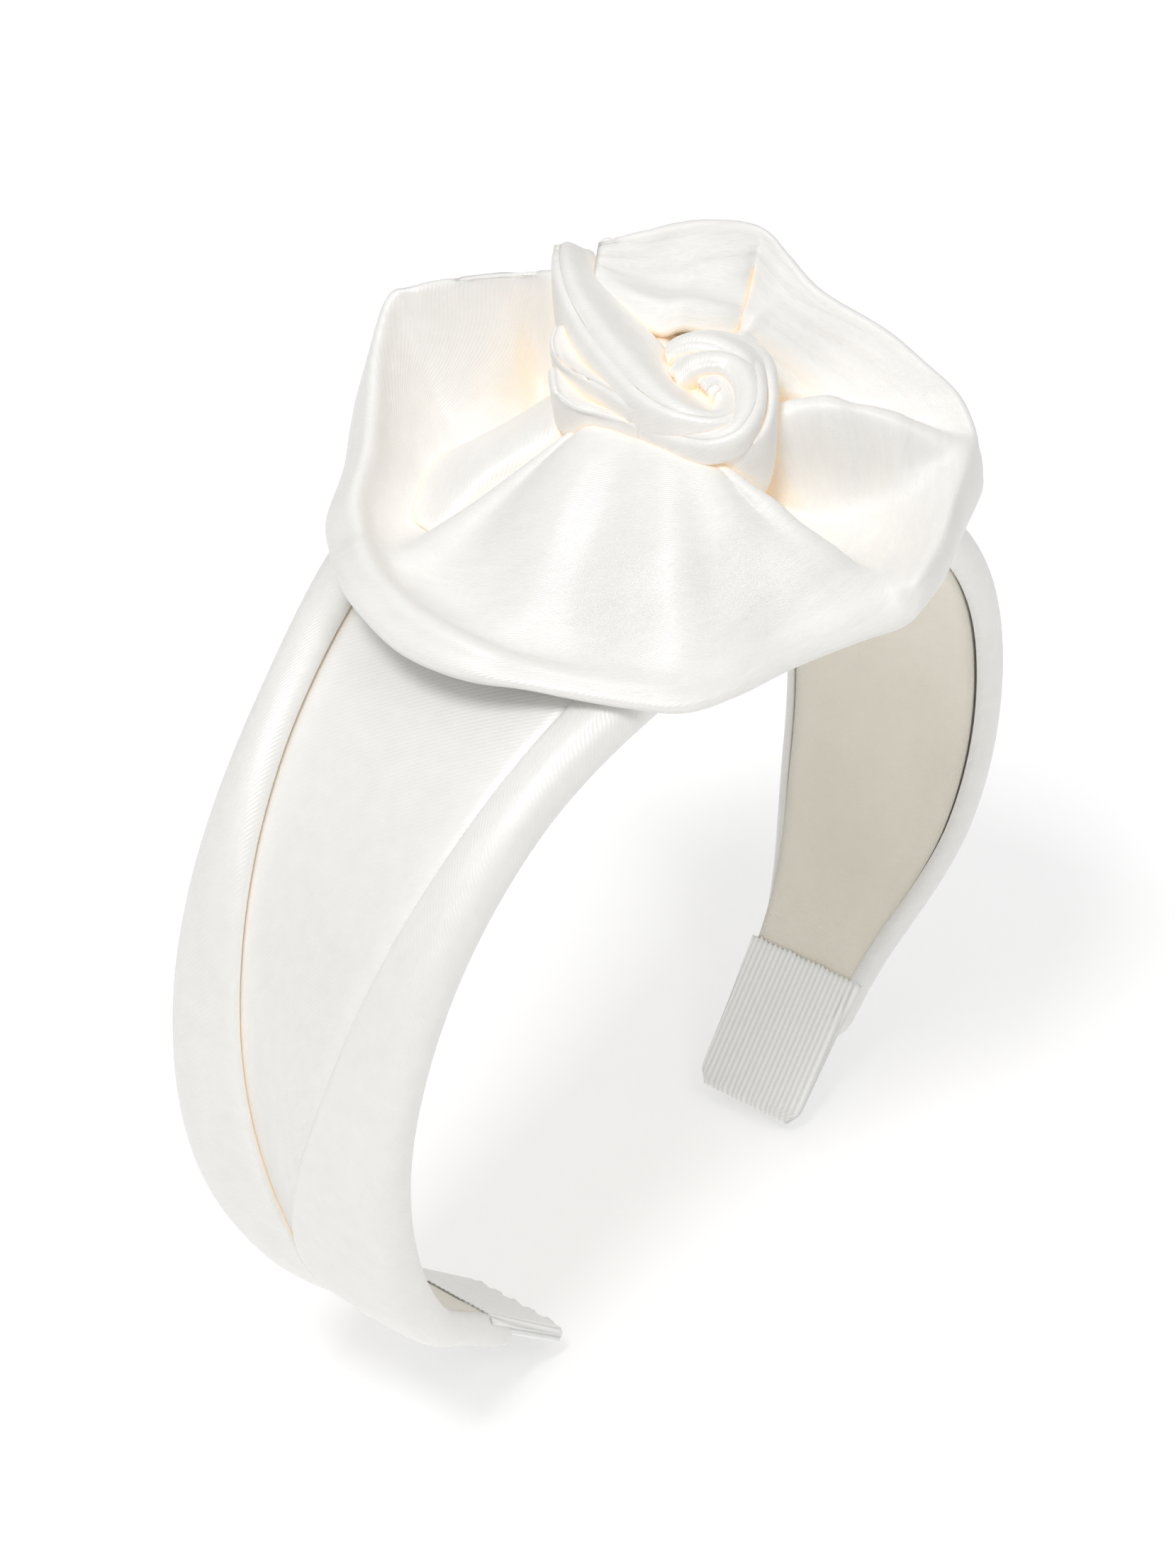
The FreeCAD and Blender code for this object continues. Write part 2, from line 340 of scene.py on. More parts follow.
def mix_color(nodes, links, factor, first, second, kind="MIX"):
    node = nodes.new("ShaderNodeMix")
    node.data_type = "RGBA"
    node.blend_type = kind
    for socket, value in ((node.inputs[0], factor), (node.inputs[6], first), (node.inputs[7], second)):
        if isinstance(value, (int, float)):
            socket.default_value = value
        elif isinstance(value, tuple):
            socket.default_value = (*value, 1.0)
        else:
            links.new(value, socket)
    return node.outputs[2]


# The satin's colour with painted fold light and a painted glow, by how deep in a fold a point lies: 0 in the
# open, 1 closed in. Deeper points are painted brighter and warmer, as light bounced between the folds, and
# the deepest ones glow.
SATIN_AND_PAINTED_FOLD_LIGHT = [
    (0.0, (0.80, 0.79, 0.765)),
    (0.30, (0.87, 0.855, 0.825)),
    (0.48, (0.94, 0.915, 0.87)),
    (0.60, (0.96, 0.895, 0.80)),
    (0.80, (0.98, 0.86, 0.73)),
    (0.97, (0.96, 0.75, 0.54)),
]
PAINTED_FOLD_GLOW = [(0.45, (0.0, 0.0, 0.0)), (1.0, (0.17, 0.125, 0.08))]
SATIN_MOTTLE = [(0.3, (0.965, 0.965, 0.965)), (0.7, (1.0, 1.0, 1.0))]
SATIN_ROUGHNESS = (0.35, 0.48)
# The satin's finish; its emission strength lets the painted glow of the deep folds shine as light.
SATIN_FINISH_AND_PAINTED_GLOW = {
    "Specular IOR Level": 1.0, "Emission Strength": 1.0, "Sheen Weight": 0.05, "Sheen Roughness": 0.45,
    "Subsurface Weight": 0.3, "Subsurface Radius": (1.0, 0.9, 0.8), "Subsurface Scale": 0.0015,
}
LINING_FINISH = {"Roughness": 0.85, "Specular IOR Level": 0.25, "Sheen Weight": 0.35, "Sheen Roughness": 0.6}
RIBBON_FINISH = {"Roughness": 0.5, "Specular IOR Level": 0.35, "Sheen Weight": 0.25}
LINING_COLORS = [(0.3, (0.79, 0.745, 0.65)), (0.7, (0.84, 0.795, 0.70))]
RIBBON_PAINTED_RIB_SHADE = [(0.0, (0.80, 0.80, 0.785)), (0.8, (0.98, 0.98, 0.97))]
RIBBON_SPECKS = [(0.3, (0.96, 0.96, 0.96)), (0.7, (1.0, 1.0, 1.0))]
# Hidden parts: two close colours, the roughness and the scale of the grain.
PLAIN_MATERIALS = {
    "filling": ((0.78, 0.77, 0.74), (0.90, 0.89, 0.87), 0.95, 0.8),
    "spring_core": ((0.66, 0.64, 0.58), (0.72, 0.70, 0.64), 0.5, 0.5),
    "felt": ((0.80, 0.78, 0.73), (0.90, 0.88, 0.84), 0.95, 1.6),
    "thread": ((0.84, 0.82, 0.77), (0.92, 0.90, 0.86), 0.7, 2.0),
    "glue": ((0.80, 0.77, 0.68), (0.86, 0.83, 0.75), 0.35, 0.4),
}


def satin_material():
    """Ivory satin: fine diagonal twill, soft streaks of sheen, and painted warm light and glow deep in the
    folds.
    """
    material, nodes, links, shader = new_material("ivory_satin")
    threads = fabric_coordinates(nodes, links)
    twill = wave_texture(nodes, links, threads, 0.9, "DIAGONAL")
    streak_map = fabric_coordinates(nodes, links, (0.25, 1.6))
    streaks = noise_texture(nodes, links, streak_map, 0.9, 4.0)
    mottle = noise_texture(nodes, links, threads, 0.35, 5.0)
    # The fold depth paints light on the satin: brighter and warmer colour deeper in the folds, and a warm
    # glow.
    cavity = nodes.new("ShaderNodeAttribute")
    cavity.attribute_name = "cavity"
    painted_fold_light = ramp(nodes, links, cavity.outputs["Fac"], SATIN_AND_PAINTED_FOLD_LIGHT)
    shade = ramp(nodes, links, mottle, SATIN_MOTTLE)
    links.new(mix_color(nodes, links, 1.0, painted_fold_light, shade, "MULTIPLY"), shader.inputs["Base Color"])
    rough = nodes.new("ShaderNodeMapRange")
    set_sockets(rough, {"To Min": SATIN_ROUGHNESS[0], "To Max": SATIN_ROUGHNESS[1]})
    links.new(streaks, rough.inputs["Value"])
    links.new(rough.outputs["Result"], shader.inputs["Roughness"])
    # Painted glow: the satin's deep folds give off warm light.
    links.new(ramp(nodes, links, cavity.outputs["Fac"], PAINTED_FOLD_GLOW), shader.inputs["Emission Color"])
    set_sockets(shader, SATIN_FINISH_AND_PAINTED_GLOW)
    grain = noise_texture(nodes, links, threads, 3.5, 2.0)
    soft = bump(nodes, links, streaks, 0.14, 0.00025)
    grainy = bump(nodes, links, grain, 0.30, 0.00008, soft)
    links.new(bump(nodes, links, twill, 0.35, 0.00006, grainy), shader.inputs["Normal"])
    return material


def lining_material():
    """Matte beige lining with a fine plain weave."""
    material, nodes, links, shader = new_material("lining_fabric")
    threads = fabric_coordinates(nodes, links)
    warp = wave_texture(nodes, links, threads, 0.75, "X")
    weft = wave_texture(nodes, links, threads, 0.75, "Y")
    weave = math_node(nodes, links, "MULTIPLY", warp, weft)
    fuzz = noise_texture(nodes, links, threads, 1.4, 6.0)
    cloud = noise_texture(nodes, links, threads, 0.06, 3.0)
    links.new(ramp(nodes, links, cloud, LINING_COLORS), shader.inputs["Base Color"])
    set_sockets(shader, LINING_FINISH)
    soft = bump(nodes, links, fuzz, 0.35, 0.00012)
    links.new(bump(nodes, links, weave, 0.5, 0.00008, soft), shader.inputs["Normal"])
    return material


def grosgrain_material():
    """Cool white ribbed ribbon: the ribs are in the mesh, with painted shade between them, and the fine weft
    threads cross them.
    """
    material, nodes, links, shader = new_material("grosgrain_ribbon")
    threads = fabric_coordinates(nodes, links)
    weft = wave_texture(nodes, links, threads, 1.3, "X")
    fuzz = noise_texture(nodes, links, threads, 2.0, 5.0)
    rib = nodes.new("ShaderNodeAttribute")
    rib.attribute_name = "rib"
    speck = ramp(nodes, links, fuzz, RIBBON_SPECKS)
    # Painted shade: the ribbon's colour is darker between its ribs.
    ribs = ramp(nodes, links, rib.outputs["Fac"], RIBBON_PAINTED_RIB_SHADE)
    links.new(mix_color(nodes, links, 1.0, ribs, speck, "MULTIPLY"), shader.inputs["Base Color"])
    set_sockets(shader, RIBBON_FINISH)
    soft = bump(nodes, links, fuzz, 0.1, 0.00006)
    links.new(bump(nodes, links, weft, 0.2, 0.00004, soft), shader.inputs["Normal"])
    return material


def plain_material(name, low, high, roughness, grain):
    """A hidden part's material: two close colours in a fine grain."""
    material, nodes, links, shader = new_material(name)
    threads = fabric_coordinates(nodes, links)
    speck = noise_texture(nodes, links, threads, grain, 5.0)
    links.new(ramp(nodes, links, speck, [(0.35, low), (0.65, high)]), shader.inputs["Base Color"])
    shader.inputs["Roughness"].default_value = roughness
    links.new(bump(nodes, links, speck, 0.4, 0.0002), shader.inputs["Normal"])
    return material


# ---------------- meshes from grids
def distances(points):
    """How far along a line of points each one is."""
    steps = np.linalg.norm(np.diff(points, axis=0), axis=1)
    return np.concatenate([[0.0], np.cumsum(steps)])


def cloth_mesh(name, points, faces, uv, material):
    """A smooth-shaded object from points in metres, with its cloth coordinates in millimetres."""
    data = bpy.data.meshes.new(name)
    data.from_pydata(points.tolist(), [], faces)
    data.uv_layers.new(name="cloth").data.foreach_set("uv", np.asarray(uv).ravel())
    data.materials.append(material)
    data.shade_smooth()
    made = bpy.data.objects.new(name, data)
    bpy.context.scene.collection.objects.link(made)
    return made


def tube_faces(rows, count):
    """The faces of a closed tube through rows of count points each, and its two flat ends."""
    faces = []
    for i in range(rows - 1):
        for j in range(count):
            k = (j + 1) % count
            faces.append((i * count + j, i * count + k, (i + 1) * count + k, (i + 1) * count + j))
    faces.append(tuple(range(count - 1, -1, -1)))
    faces.append(tuple((rows - 1) * count + j for j in range(count)))
    return faces


def tube_coordinates(along, across):
    """Cloth coordinates for each corner of a tube's faces, in the faces' order."""
    uv = []
    for i in range(len(along) - 1):
        for j in range(len(across) - 1):
            uv += [
                (along[i], across[j]), (along[i], across[j + 1]),
                (along[i + 1], across[j + 1]), (along[i + 1], across[j]),
            ]
    for end in (along[0], along[-1]):
        uv += [(end, v) for v in across[:-1]]
    return uv


def loops_to_mesh(name, loops, material):
    """A closed tube through loops of points, in millimetres, with flat ends and cloth coordinates."""
    loops = np.asarray(loops, float)
    rows, count, _ = loops.shape
    along = distances(loops.mean(axis=1))
    across = distances(np.vstack([loops[rows // 2], loops[rows // 2][:1]]))
    points = loops.reshape(-1, 3) * MM
    made = cloth_mesh(name, points, tube_faces(rows, count), tube_coordinates(along, across), material)
    fix_normals(made)
    return made


def fix_normals(made):
    """Turns the faces outwards if the mesh's volume comes out negative."""
    data = made.data
    volume = 0.0
    for face in data.polygons:
        corners = [data.vertices[v].co for v in face.vertices]
        for a, b in zip(corners[1:], corners[2:]):
            volume += corners[0].dot(a.cross(b))
    if volume < 0:
        data.flip_normals()


# ---------------- how deep each point lies in a fold
CAVITY_REACH = 0.024
CAVITY_RAYS = 18
CAVITY_LIFT = 0.0004
CAVITY_ROUNDS = 3
# How much less a hit counts at the full reach than close by.
CAVITY_FADE = 0.5


def hemisphere(count):
    """Directions spread over the half sphere about +Z, denser towards its pole."""
    turn = math.pi * (3.0 - math.sqrt(5.0))
    out = []
    for i in range(count):
        up = math.sqrt(1.0 - (i + 0.5) / count)
        side = math.sqrt(1.0 - up * up)
        out.append(Vector((side * math.cos(i * turn), side * math.sin(i * turn), up)))
    return out


def openness_tree(pieces):
    """One search tree over the faces of all the pieces."""
    points = []
    faces = []
    for piece in pieces:
        first = len(points)
        points += [v.co for v in piece.data.vertices]
        faces += [[first + v for v in face.vertices] for face in piece.data.polygons]
    return BVHTree.FromPolygons(points, faces)


def smooth_values(data, values, rounds):
    """Averages each vertex's value with its neighbours' values, a few times."""
    edges = np.array([e.vertices[:] for e in data.edges])
    for _ in range(rounds):
        total = values.copy()
        count = np.ones(len(values))
        np.add.at(total, edges[:, 0], values[edges[:, 1]])
        np.add.at(total, edges[:, 1], values[edges[:, 0]])
        np.add.at(count, edges[:, 0], 1.0)
        np.add.at(count, edges[:, 1], 1.0)
        values = total / count
    return values


def mark_cavities(pieces, most=1.0):
    """Gives every vertex how much of the space before it the pieces close off, from 0 to most."""
    tree = openness_tree(pieces)
    rays = hemisphere(CAVITY_RAYS)
    for piece in pieces:
        data = piece.data
        closed = np.zeros(len(data.vertices))
        for i, vertex in enumerate(data.vertices):
            turn = vertex.normal.to_track_quat("Z", "Y")
            start = vertex.co + vertex.normal * CAVITY_LIFT
            for ray in rays:
                reached = tree.ray_cast(start, turn @ ray, CAVITY_REACH)[3]
                if reached is not None:
                    closed[i] += 1.0 - CAVITY_FADE * reached / CAVITY_REACH
        closed = smooth_values(data, most * closed / CAVITY_RAYS, CAVITY_ROUNDS)
        layer = data.attributes.new("cavity", "FLOAT", "POINT")
        layer.data.foreach_set("value", closed)


# ---------------- the band
def closed_curve(corners, count):
    """Points on a smooth closed curve through the corners, evenly many between each pair."""
    corners = np.asarray(corners, float)
    n = len(corners)
    per = count // n
    out = []
    for i in range(n):
        p0, p1, p2, p3 = (corners[(i + k - 1) % n] for k in range(4))
        for k in range(per):
            t = k / per
            out.append(0.5 * (2 * p1 + (p2 - p0) * t + (2 * p0 - 5 * p1 + 4 * p2 - p3) * t * t
                              + (3 * p1 - p0 - 3 * p2 + p3) * t ** 3))
    return out


def ripple(seed, s, y, across_scale, along_scale):
    """Slow uneven swelling, between about -1 and 1."""
    return noise.noise(Vector((s / along_scale, y / across_scale, seed)))


def front_roll_section(s):
    """The front roll: a low step at the seam, a broad top and a round front edge that wraps the core."""
    half = width(s) / 2
    inner = through(FRONT_ROLL_EDGE, s)
    low = 1.0 - FRONT_ROLL_THINNING * ease(s, PANEL_END, FRONT_ROLL_END)
    outer = -half - 0.5
    broad = inner - outer
    top = ROLL_TOP * low + 0.25 * ripple(3.1, s, 0.0, 9.0, 14.0)
    return [
        (inner + 0.3, 1.0 * low), (inner - 0.6, -1.0), (outer + 0.55 * broad, -1.1), (outer + 1.9, -1.3),
        (outer + 2.2, -2.4), (outer + 1.9, -3.1), (outer + 0.9, -2.9), (outer + 0.1, -1.6),
        (outer, 0.2), (outer + 0.9, 1.9 * low), (outer + 2.8, 2.9 * low), (outer + 0.55 * broad, top),
        (inner - 0.22 * broad, top - 0.15), (inner - 0.4, 2.5 * low),
    ]


def rear_roll_section(s):
    """The rear roll: a round tube that overhangs the panel and makes a deep groove with it."""
    half = width(s) / 2
    inner = through(REAR_ROLL_EDGE, s)
    outer = half + 0.5
    end = 1.0 - REAR_ROLL_THINNING * ease(s, REAR_ROLL_END - REAR_ROLL_TAPER, REAR_ROLL_END)
    broad = outer - inner
    top = ROLL_TOP * end + 0.3 * ripple(8.4, s, 0.0, 9.0, 13.0)
    return [
        (inner - 0.2, 1.3 * end), (inner + 0.7, 0.2), (inner + 1.6, -1.0), (outer - 0.4 * broad, -1.1),
        (outer - 1.9, -1.3), (outer - 2.2, -2.4), (outer - 1.9, -3.1), (outer - 0.9, -2.9),
        (outer - 0.1, -1.6), (outer, 0.2), (outer - 0.8, 1.9 * end), (outer - 0.3 * broad, 2.9 * end),
        (inner + 0.38 * broad, top), (inner + 0.6, 2.5 * end),
    ]


def plate_section(front, rear, front_low, front_high, rear_low, rear_high, crown, count):
    """A flat layer with an even edge, thicker in the middle by crown."""
    out = []
    for i in range(count + 1):
        t = i / count
        out.append((front + (rear - front) * t, front_low + (rear_low - front_low) * t))
    for i in range(count, -1, -1):
        t = i / count
        swell = crown * 4 * t * (1 - t)
        out.append((front + (rear - front) * t, front_high + (rear_high - front_high) * t + swell))
    return out


def panel_section(s):
    """The centre panel: tucked under both rolls, and lower at the rear groove."""
    front = through(FRONT_ROLL_EDGE, s) - 1.0
    rear = through(REAR_ROLL_EDGE, s) + 1.2
    swell = 0.25 + 0.2 * ripple(1.7, s, 0.0, 9.0, 18.0)
    return plate_section(front, rear, *PANEL_FRONT_HEIGHTS, *PANEL_REAR_HEIGHTS, swell, WIDE_COLUMNS)


def lining_section(s):
    half = LINING_SHARE * width(s)
    return plate_section(-half, half, *LINING_HEIGHTS, *LINING_HEIGHTS, 0.0, WIDE_COLUMNS)


def core_section(s):
    half = CORE_SHARE * width(s) - CORE_INSET
    return plate_section(-half, half, *CORE_HEIGHTS, *CORE_HEIGHTS, 0.0, NARROW_COLUMNS)


def padding_section(s):
    front = through(FRONT_ROLL_EDGE, s) + 0.2
    rear = through(REAR_ROLL_EDGE, s) - 0.2
    heights = PADDING_FRONT_HEIGHTS + PADDING_REAR_HEIGHTS
    return plate_section(front, rear, *heights, PADDING_CROWN, NARROW_COLUMNS)


def close_end(loop, t):
    """Shrinks a roll's section on its way to the roll's closed end: t runs from 0 to 1."""
    keep = math.sqrt(max(1.0 - t * t, ROLL_END_LEAST))
    middle = loop.mean(axis=0)
    return middle + (loop - middle) * np.array([ROLL_END_WIDTH + (1 - ROLL_END_WIDTH) * keep, keep])


def band_piece(name, side, end, section, material, smooth, taper):
    """One layer of half the band, from the crown's middle to its end station."""
    rows = round(end / BAND_STEP)
    loops = []
    for i in range(rows + 1):
        s = end * i / rows
        corners = section(s)
        loop = np.asarray(closed_curve(corners, smooth) if smooth else corners, float)
        if taper and s > end - taper:
            loop = close_end(loop, (s - end + taper) / taper)
        loops.append([place(side, s, y, h) for y, h in loop])
    return loops_to_mesh(name, loops, material)


# The tip ribbon. It starts on the inner face, turns round the tip and comes back on the outer face.
SLEEVE_INNER = -3.15
SLEEVE_OUTER = -0.9
SLEEVE_MIDDLE = -2.0
SLEEVE_RETURN = 21.5
SLEEVE_STEP = 0.8
TURN_STEPS = 8
# How far it stands past the leg's edges, how wide its rounded rims are, and its rounded corners.
SLEEVE_MARGIN = 0.2
SLEEVE_RIM = 1.9
RIM_LEAST = 0.12
CORNER_LENGTH = 3.0
CORNER_ROUNDING = 1.3
SLEEVE_THICKNESS = 0.4
SLEEVE_COLUMNS = 150
PLAIN_COLUMN = 6
# Ribs along the leg, the end's waves, and how far the start is frayed.
RIB_PITCH = 0.88
RIB_HEIGHT = 0.20
WAVE_HEIGHT = 0.25
WAVE_PITCH = 3.1
SCALLOP_DEPTH = 0.35
FRAY_DEPTH = 0.3


def sleeve_path(step):
    """The tip sleeve's line (s, h): along the inner face, round the end, and back on the outer face."""
    radius = (SLEEVE_OUTER - SLEEVE_INNER) / 2
    turn = HALF_LENGTH - radius
    path = [(s, SLEEVE_INNER) for s in np.arange(SLEEVE_START, turn, step)]
    for i in range(TURN_STEPS + 1):
        angle = math.pi * i / TURN_STEPS
        path.append((turn + radius * math.sin(angle), SLEEVE_INNER + radius - radius * math.cos(angle)))
    path += [(turn - d, SLEEVE_OUTER) for d in np.arange(step, SLEEVE_RETURN, step)]
    return path


def outward(path, i):
    """The direction (s, h) away from the core at one point of the sleeve's line."""
    before, after = path[max(i - 1, 0)], path[min(i + 1, len(path) - 1)]
    run = math.hypot(after[0] - before[0], after[1] - before[1])
    return (after[1] - before[1]) / run, -(after[0] - before[0]) / run


def close_rim(h, from_edge):
    """Rounds the ribbon's two layers towards each other at its side edges, beside the core."""
    across = 1.0 - min(from_edge / SLEEVE_RIM, 1.0)
    keep = math.sqrt(max(1.0 - across ** 2, RIM_LEAST))
    return SLEEVE_MIDDLE + (h - SLEEVE_MIDDLE) * keep


def rib_at(y):
    """1 on the top of a rib and 0 between two."""
    return 0.5 + 0.5 * math.cos(2 * math.pi * y / RIB_PITCH)


def sleeve_loop(s, h, out, frayed):
    """The ribbon's closed section at one station: ribbed outside, plain towards the core."""
    corner = ease(s, HALF_LENGTH - CORNER_LENGTH, HALF_LENGTH)
    half = width(min(s, HALF_LENGTH)) / 2 + SLEEVE_MARGIN - CORNER_ROUNDING * corner ** 2
    loop = []
    for k in range(SLEEVE_COLUMNS + 1):
        y = -half + 2 * half * k / SLEEVE_COLUMNS
        rib = rib_at(y)
        lift = RIB_HEIGHT * rib
        wave = WAVE_HEIGHT * corner * math.sin(2 * math.pi * y / WAVE_PITCH)
        shift = (SCALLOP_DEPTH * rib + FRAY_DEPTH * ripple(5.5, 0.0, y, 2.0, 1.0)) if frayed else 0.0
        height = close_rim(h, half - abs(y))
        loop.append((s - shift + out[0] * lift, y, height + out[1] * (lift + wave)))
    for k in range(SLEEVE_COLUMNS, -1, -PLAIN_COLUMN):
        y = -half + 2 * half * k / SLEEVE_COLUMNS
        height = close_rim(h, half - abs(y))
        loop.append((s - out[0] * SLEEVE_THICKNESS, y, height - out[1] * SLEEVE_THICKNESS))
    return loop


def tip_sleeve(name, side, material):
    """Grosgrain ribbon: ribs along the leg, a frayed scalloped start, and rounded tip corners."""
    path = sleeve_path(SLEEVE_STEP)
    loops = []
    for i, (s, h) in enumerate(path):
        loop = sleeve_loop(s, h, outward(path, i), i == 0)
        loops.append([place(side, *p) for p in loop])
    sleeve = loops_to_mesh(name, loops, material)
    mark_ribs(sleeve, len(loops[0]))
    return sleeve


def mark_ribs(sleeve, loop_size):
    """Gives every vertex 1 on a rib and 0 between two, so that the colour paints shade between the ribs."""
    values = np.zeros(len(sleeve.data.vertices))
    for i, vertex in enumerate(sleeve.data.vertices):
        if i % loop_size <= SLEEVE_COLUMNS:
            values[i] = rib_at(vertex.co.y / MM)
    sleeve.data.attributes.new("rib", "FLOAT", "POINT").data.foreach_set("value", values)


def bend_with_leg(piece, side):
    """Bakes a band piece's transform into its mesh; the stretch where its leg would bend is found but not
    used.
    """
    start = [v * MM for v in place(side, BEND_START, 0.0, 0.0)]
    end = [v * MM for v in place(side, BEND_END, 0.0, 0.0)]
    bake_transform(piece)


# The most fold depth on the band, which sets how far its satin is painted brighter, warmer and glowing in
# the folds.
BAND_CAVITY = 0.85


# Each layer: its name, where it ends, its section, its slot, how many points smooth it, and its taper.
BAND_LAYERS = [
    ("lining", LINING_END, lining_section, "lining_fabric", 0, 0.0),
    ("core", CORE_END, core_section, "spring_core", 0, 0.0),
    ("padding", PADDING_END, padding_section, "filling", 0, 0.0),
    ("centre_panel", PANEL_END, panel_section, "ivory_satin", 0, 0.0),
    ("front_roll", FRONT_ROLL_END, front_roll_section, "ivory_satin", ROLL_POINTS, FRONT_ROLL_TAPER),
    ("rear_roll", REAR_ROLL_END, rear_roll_section, "ivory_satin", ROLL_POINTS, REAR_ROLL_TAPER),
]


def make_layer(word, side, materials, layer, end, section, slot, smooth, taper):
    leg = word + "_leg"
    piece = band_piece(word + "_" + layer, side, end, section, materials[slot], smooth, taper)
    bend_with_leg(piece, side)
    replaced = ["crown_" + layer, leg + "_" + layer]
    if layer.endswith("_roll"):
        filler = layer.replace("roll", "filler")
        replaced += ["crown_" + filler, leg + "_" + filler]
    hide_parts(*replaced)
    return piece


def make_sleeve(word, side, materials):
    sleeve = tip_sleeve(word + "_tip_sleeve", side, materials["grosgrain_ribbon"])
    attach(sleeve, word + "_leg")
    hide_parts("tip_sleeve_" + word)


def make_band(materials):
    pieces = []
    for word, side in (("left", -1.0), ("right", 1.0)):
        pieces += [make_layer(word, side, materials, *layer) for layer in BAND_LAYERS]
        make_sleeve(word, side, materials)
    satin_pieces = [piece for piece in pieces if piece.name.endswith(("_roll", "_centre_panel"))]
    mark_cavities(satin_pieces, BAND_CAVITY)


# ---------------- the rosette
# Its own frame, in millimetres: a runs to the right and d away from a viewer in front, z is up.
ROSETTE_CENTRE = (6.0, -6.0)
ROSETTE_TURN = math.radians(-51.0)
SATIN_THICKNESS = 1.0
STEPS = 8
RIB_STATIONS = (0.0, 0.16, 0.33, 0.50, 0.66, 0.80, 0.91, 1.0)
OUTER_FOOT = 24.0
BACK_BEARING = 105.0

# Each rib: where it leaves the bud (a, d), its crest (a, d), and heights at parts of the way between.
BACK_WALL = [
    ((-1, 13), (-1, 24), [(0, 15), (0.35, 17), (0.7, 20), (0.88, 23), (1, 24.5)]),
    ((-6, 12), (-7.5, 25.5), [(0, 12), (0.35, 14), (0.7, 17.5), (0.88, 22.5), (1, 25)]),
    ((-12.5, 8), (-14, 28.5), [(0, 6.5), (0.4, 7.5), (0.7, 9), (0.86, 13), (1, 24)]),
    ((-14, 6.5), (-19, 28), [(0, 6.5), (0.36, 7.5), (0.62, 8.5), (0.78, 13), (1, 24.5)]),
    ((-16, 5.5), (-25, 26.5), [(0, 6), (0.35, 7), (0.6, 8.5), (0.74, 13), (1, 25)]),
    ((-17.5, 4), (-29.5, 25), [(0, 6), (0.33, 6.5), (0.58, 8), (0.74, 12.5), (1, 25)]),
    ((-18, 4), (-33, 24.5), [(0, 5.5), (0.3, 6), (0.52, 7.5), (0.68, 11), (1, 24)]),
]
LEFT_RIM = [
    ((-18.5, 3.5), (-35, 18.5), [(0, 5.5), (0.35, 6), (0.6, 7.5), (0.78, 12), (1, 20)]),
    ((-19, 3), (-35.5, 11.5), [(0, 5.5), (0.35, 6), (0.7, 7), (0.88, 11), (1, 16)]),
    ((-16.5, 1), (-36, 5), [(0, 6), (0.4, 6), (0.75, 6), (0.92, 9.5), (1, 13.5)]),
    ((-17, 0), (-37.5, -2), [(0, 6), (0.4, 6), (0.75, 5), (0.92, 7.5), (1, 11)]),
    ((-17.5, -1.5), (-37, -7.5), [(0, 6.5), (0.35, 6.3), (0.65, 6), (0.85, 6), (1, 10)]),
]
FRONT_LOBE = [
    ((-6.5, 3.5), (-36, -12.5), [(0, 17), (0.25, 14.5), (0.6, 10), (0.9, 6.5), (1, 9.5)]),
    ((-6, 3.5), (-33.5, -18), [(0, 17.5), (0.3, 14), (0.65, 8), (0.86, 5.7), (1, 9)]),
    ((-4.5, 3), (-28.5, -24.5), [(0, 18), (0.18, 18.4), (0.4, 14.4), (0.75, 6.2), (0.88, 5.3), (1, 8)]),
    ((-3, 2), (-21, -30), [(0, 18.3), (0.18, 18.7), (0.45, 14), (0.75, 6.5), (0.9, 4.8), (1, 7)]),
    ((-1, 1), (-13, -32), [(0, 18.6), (0.2, 18.2), (0.5, 12.7), (0.8, 5.4), (0.92, 4), (1, 5)]),
    ((0.5, -1), (-4, -35), [(0, 19), (0.2, 18.4), (0.5, 13.8), (0.8, 7), (0.93, 4.5), (1, 4.3)]),
    ((2.5, -3), (3, -36.5), [(0, 19), (0.18, 18.7), (0.47, 14.7), (0.77, 8.3), (0.92, 4.9), (1, 4)]),
    ((4.5, -5.5), (9.5, -34), [(0, 19), (0.17, 18.2), (0.45, 13.8), (0.76, 7.8), (1, 4.2)]),
    ((6, -7), (16.5, -29), [(0, 18.8), (0.15, 18.2), (0.45, 14.5), (0.8, 7.6), (1, 4.3)]),
    ((7, -8), (24, -26), [(0, 18.5), (0.1, 18), (0.35, 14.5), (0.7, 10.5), (1, 5)]),
    ((8, -8), (30, -23.5), [(0, 18), (0.1, 17.3), (0.35, 14.5), (0.7, 10), (1, 6)]),
]
RIGHT_CUP = [
    ((7.5, 0), (32.5, -22), [(0, 10.5), (0.15, 10.5), (0.35, 7.5), (0.6, 6.3), (0.85, 7.7), (1, 8.7)]),
    ((9, 1), (35.5, -16.5), [(0, 8.5), (0.15, 8.5), (0.35, 6.5), (0.55, 5.8), (0.78, 7), (1, 10)]),
    ((11, -1), (38, -9.5), [(0, 10.5), (0.2, 9.5), (0.4, 8), (0.6, 8.5), (0.8, 10), (1, 12)]),
    ((12, -1.5), (39.5, -5.5), [(0, 12.5), (0.25, 12), (0.5, 11.8), (0.75, 13), (1, 13.5)]),
]
